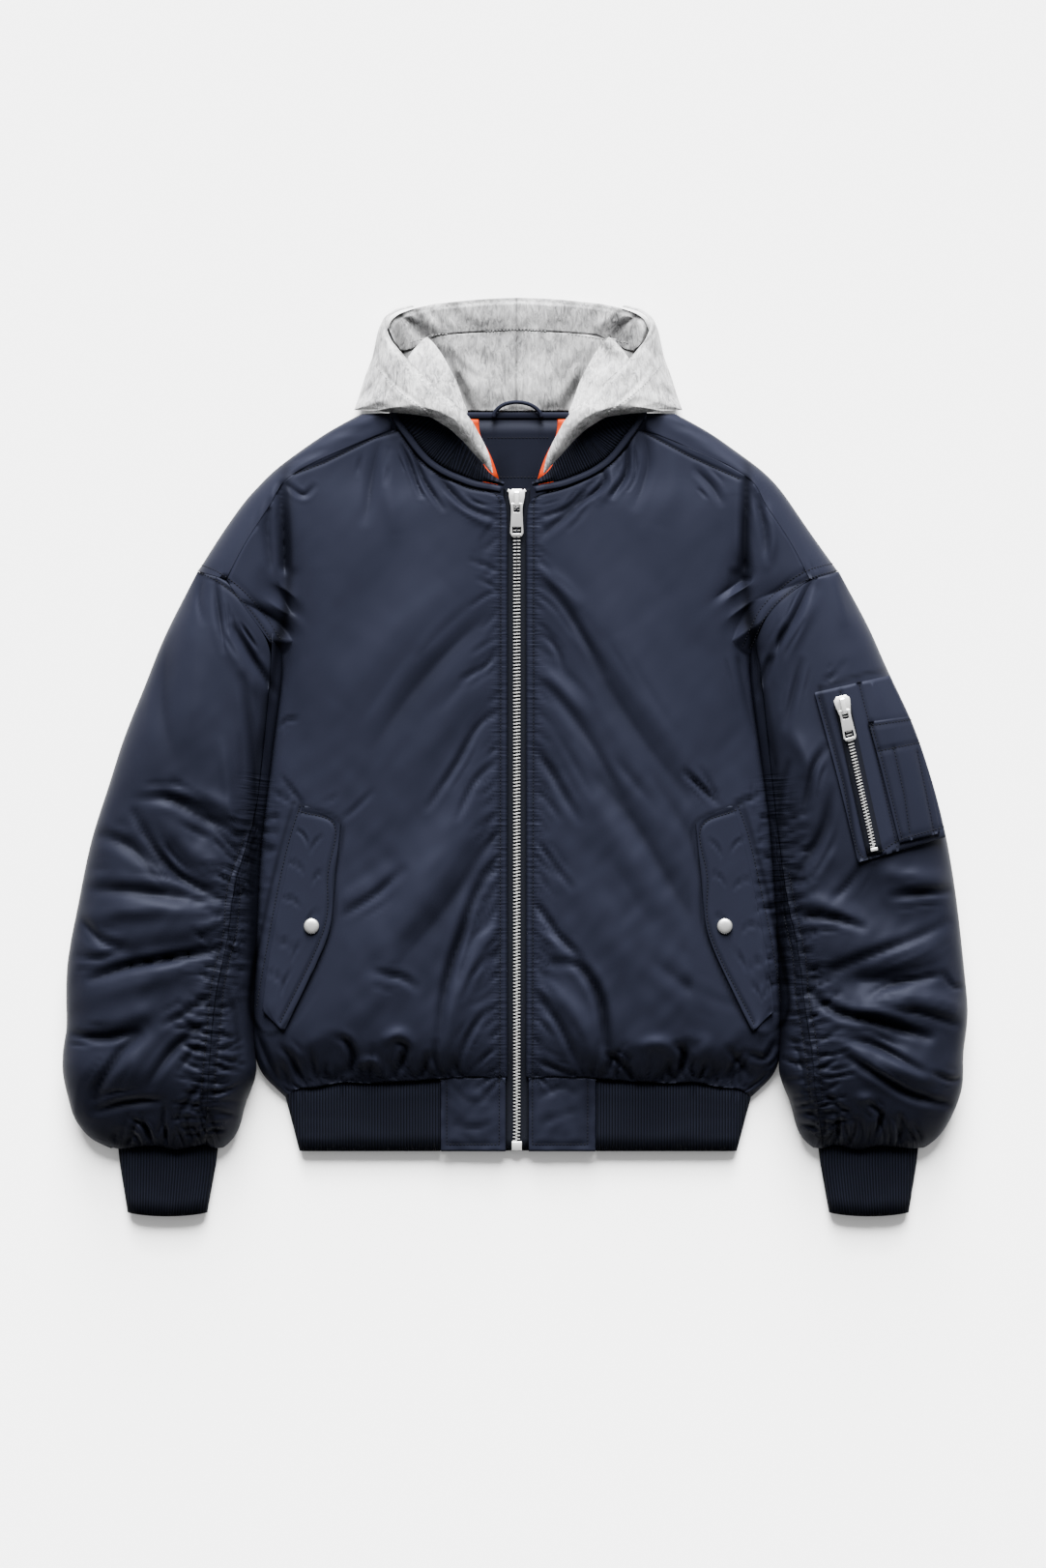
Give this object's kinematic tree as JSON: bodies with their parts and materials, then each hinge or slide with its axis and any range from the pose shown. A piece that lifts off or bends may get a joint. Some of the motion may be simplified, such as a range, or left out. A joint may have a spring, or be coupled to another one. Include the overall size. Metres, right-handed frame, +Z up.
{
  "type": "hooded bomber jacket",
  "caption": "Hooded padded satin bomber jacket laid flat with its zip closed: ribbed collar, cuffs and hem, slant pocket flaps with snaps, and a zipped sleeve pocket.",
  "frame": {"origin": "bottom centre of the bounding box, on the surface that the jacket lies on", "axes": "+Z up, from the back towards the front of the jacket as it lies; +Y from the hem towards the hood; +X towards the wearer's left sleeve, which is on the right as one looks down on it"},
  "size_m": [0.8421, 0.8571, 0.0724],
  "materials": {
    "navy_satin": "satin sheen",
    "navy_rib": "matt rib knit",
    "grey_marl_jersey": "matt marl jersey",
    "orange_lining": "satin",
    "zip_tape": "matt woven",
    "zip_metal": "bright plated",
    "snap_metal": "satin plated"
  },
  "bodies": {
    "jacket": {"front_left": "navy_satin", "front_right": "navy_satin", "back": "navy_satin", "sleeve_upper_left": "navy_satin", "sleeve_lower_left": "navy_satin", "sleeve_upper_right": "navy_satin", "sleeve_lower_right": "navy_satin", "hem_rib_left": "navy_rib", "hem_tab_left": "navy_satin", "hem_rib_right": "navy_rib", "hem_tab_right": "navy_satin", "hem_rib_back": "navy_rib", "cuff_left": "navy_rib", "cuff_right": "navy_rib", "neck_binding_left": "navy_satin", "collar_left": "navy_rib", "neck_binding_right": "navy_satin", "collar_right": "navy_rib", "back_facing": "navy_satin", "lining_left": "orange_lining", "lining_right": "orange_lining", "back_neck_binding": "navy_satin", "hanger_loop": "navy_satin", "collar_back": "navy_rib", "hood_side_left": "grey_marl_jersey", "hood_flap_left": "grey_marl_jersey", "hood_side_right": "grey_marl_jersey", "hood_flap_right": "grey_marl_jersey", "hood_back": "grey_marl_jersey", "hood_inside": "grey_marl_jersey", "hood_band": "grey_marl_jersey", "pocket_flap_left": "navy_satin", "snap_left": "snap_metal", "pocket_flap_right": "navy_satin", "snap_right": "snap_metal", "zip_tape_left": "zip_tape", "zip_tape_right": "zip_tape", "zip_teeth": "zip_metal", "zip_box": "zip_metal", "zip_stop_left": "zip_metal", "zip_stop_right": "zip_metal", "zip_slider": "zip_metal", "zip_bridge": "zip_metal", "sleeve_pocket": "navy_satin", "pen_pocket": "navy_satin", "sleeve_zip_tape": "zip_tape", "sleeve_zip_teeth": "zip_metal", "sleeve_zip_slider": "zip_metal", "sleeve_zip_bridge": "zip_metal", "sleeve_zip_stop": "zip_metal"},
    "front_zip_pull": {"zip_pull": "zip_metal"},
    "pocket_zip_pull": {"sleeve_zip_pull": "zip_metal"}
  },
  "joints": [
    {"name": "front_pull_lift", "type": "hinge", "parent": "jacket", "child": "front_zip_pull", "pos_m": [-0.0013, 0.2344, 0.03105], "axis": [-1, 0, 0], "range_deg": [0, 125]},
    {"name": "pocket_pull_lift", "type": "hinge", "parent": "jacket", "child": "pocket_zip_pull", "pos_m": [0.30095, 0.04197, 0.06837], "axis": [-0.9774, -0.2114, 0], "range_deg": [0, 125]}
  ]
}
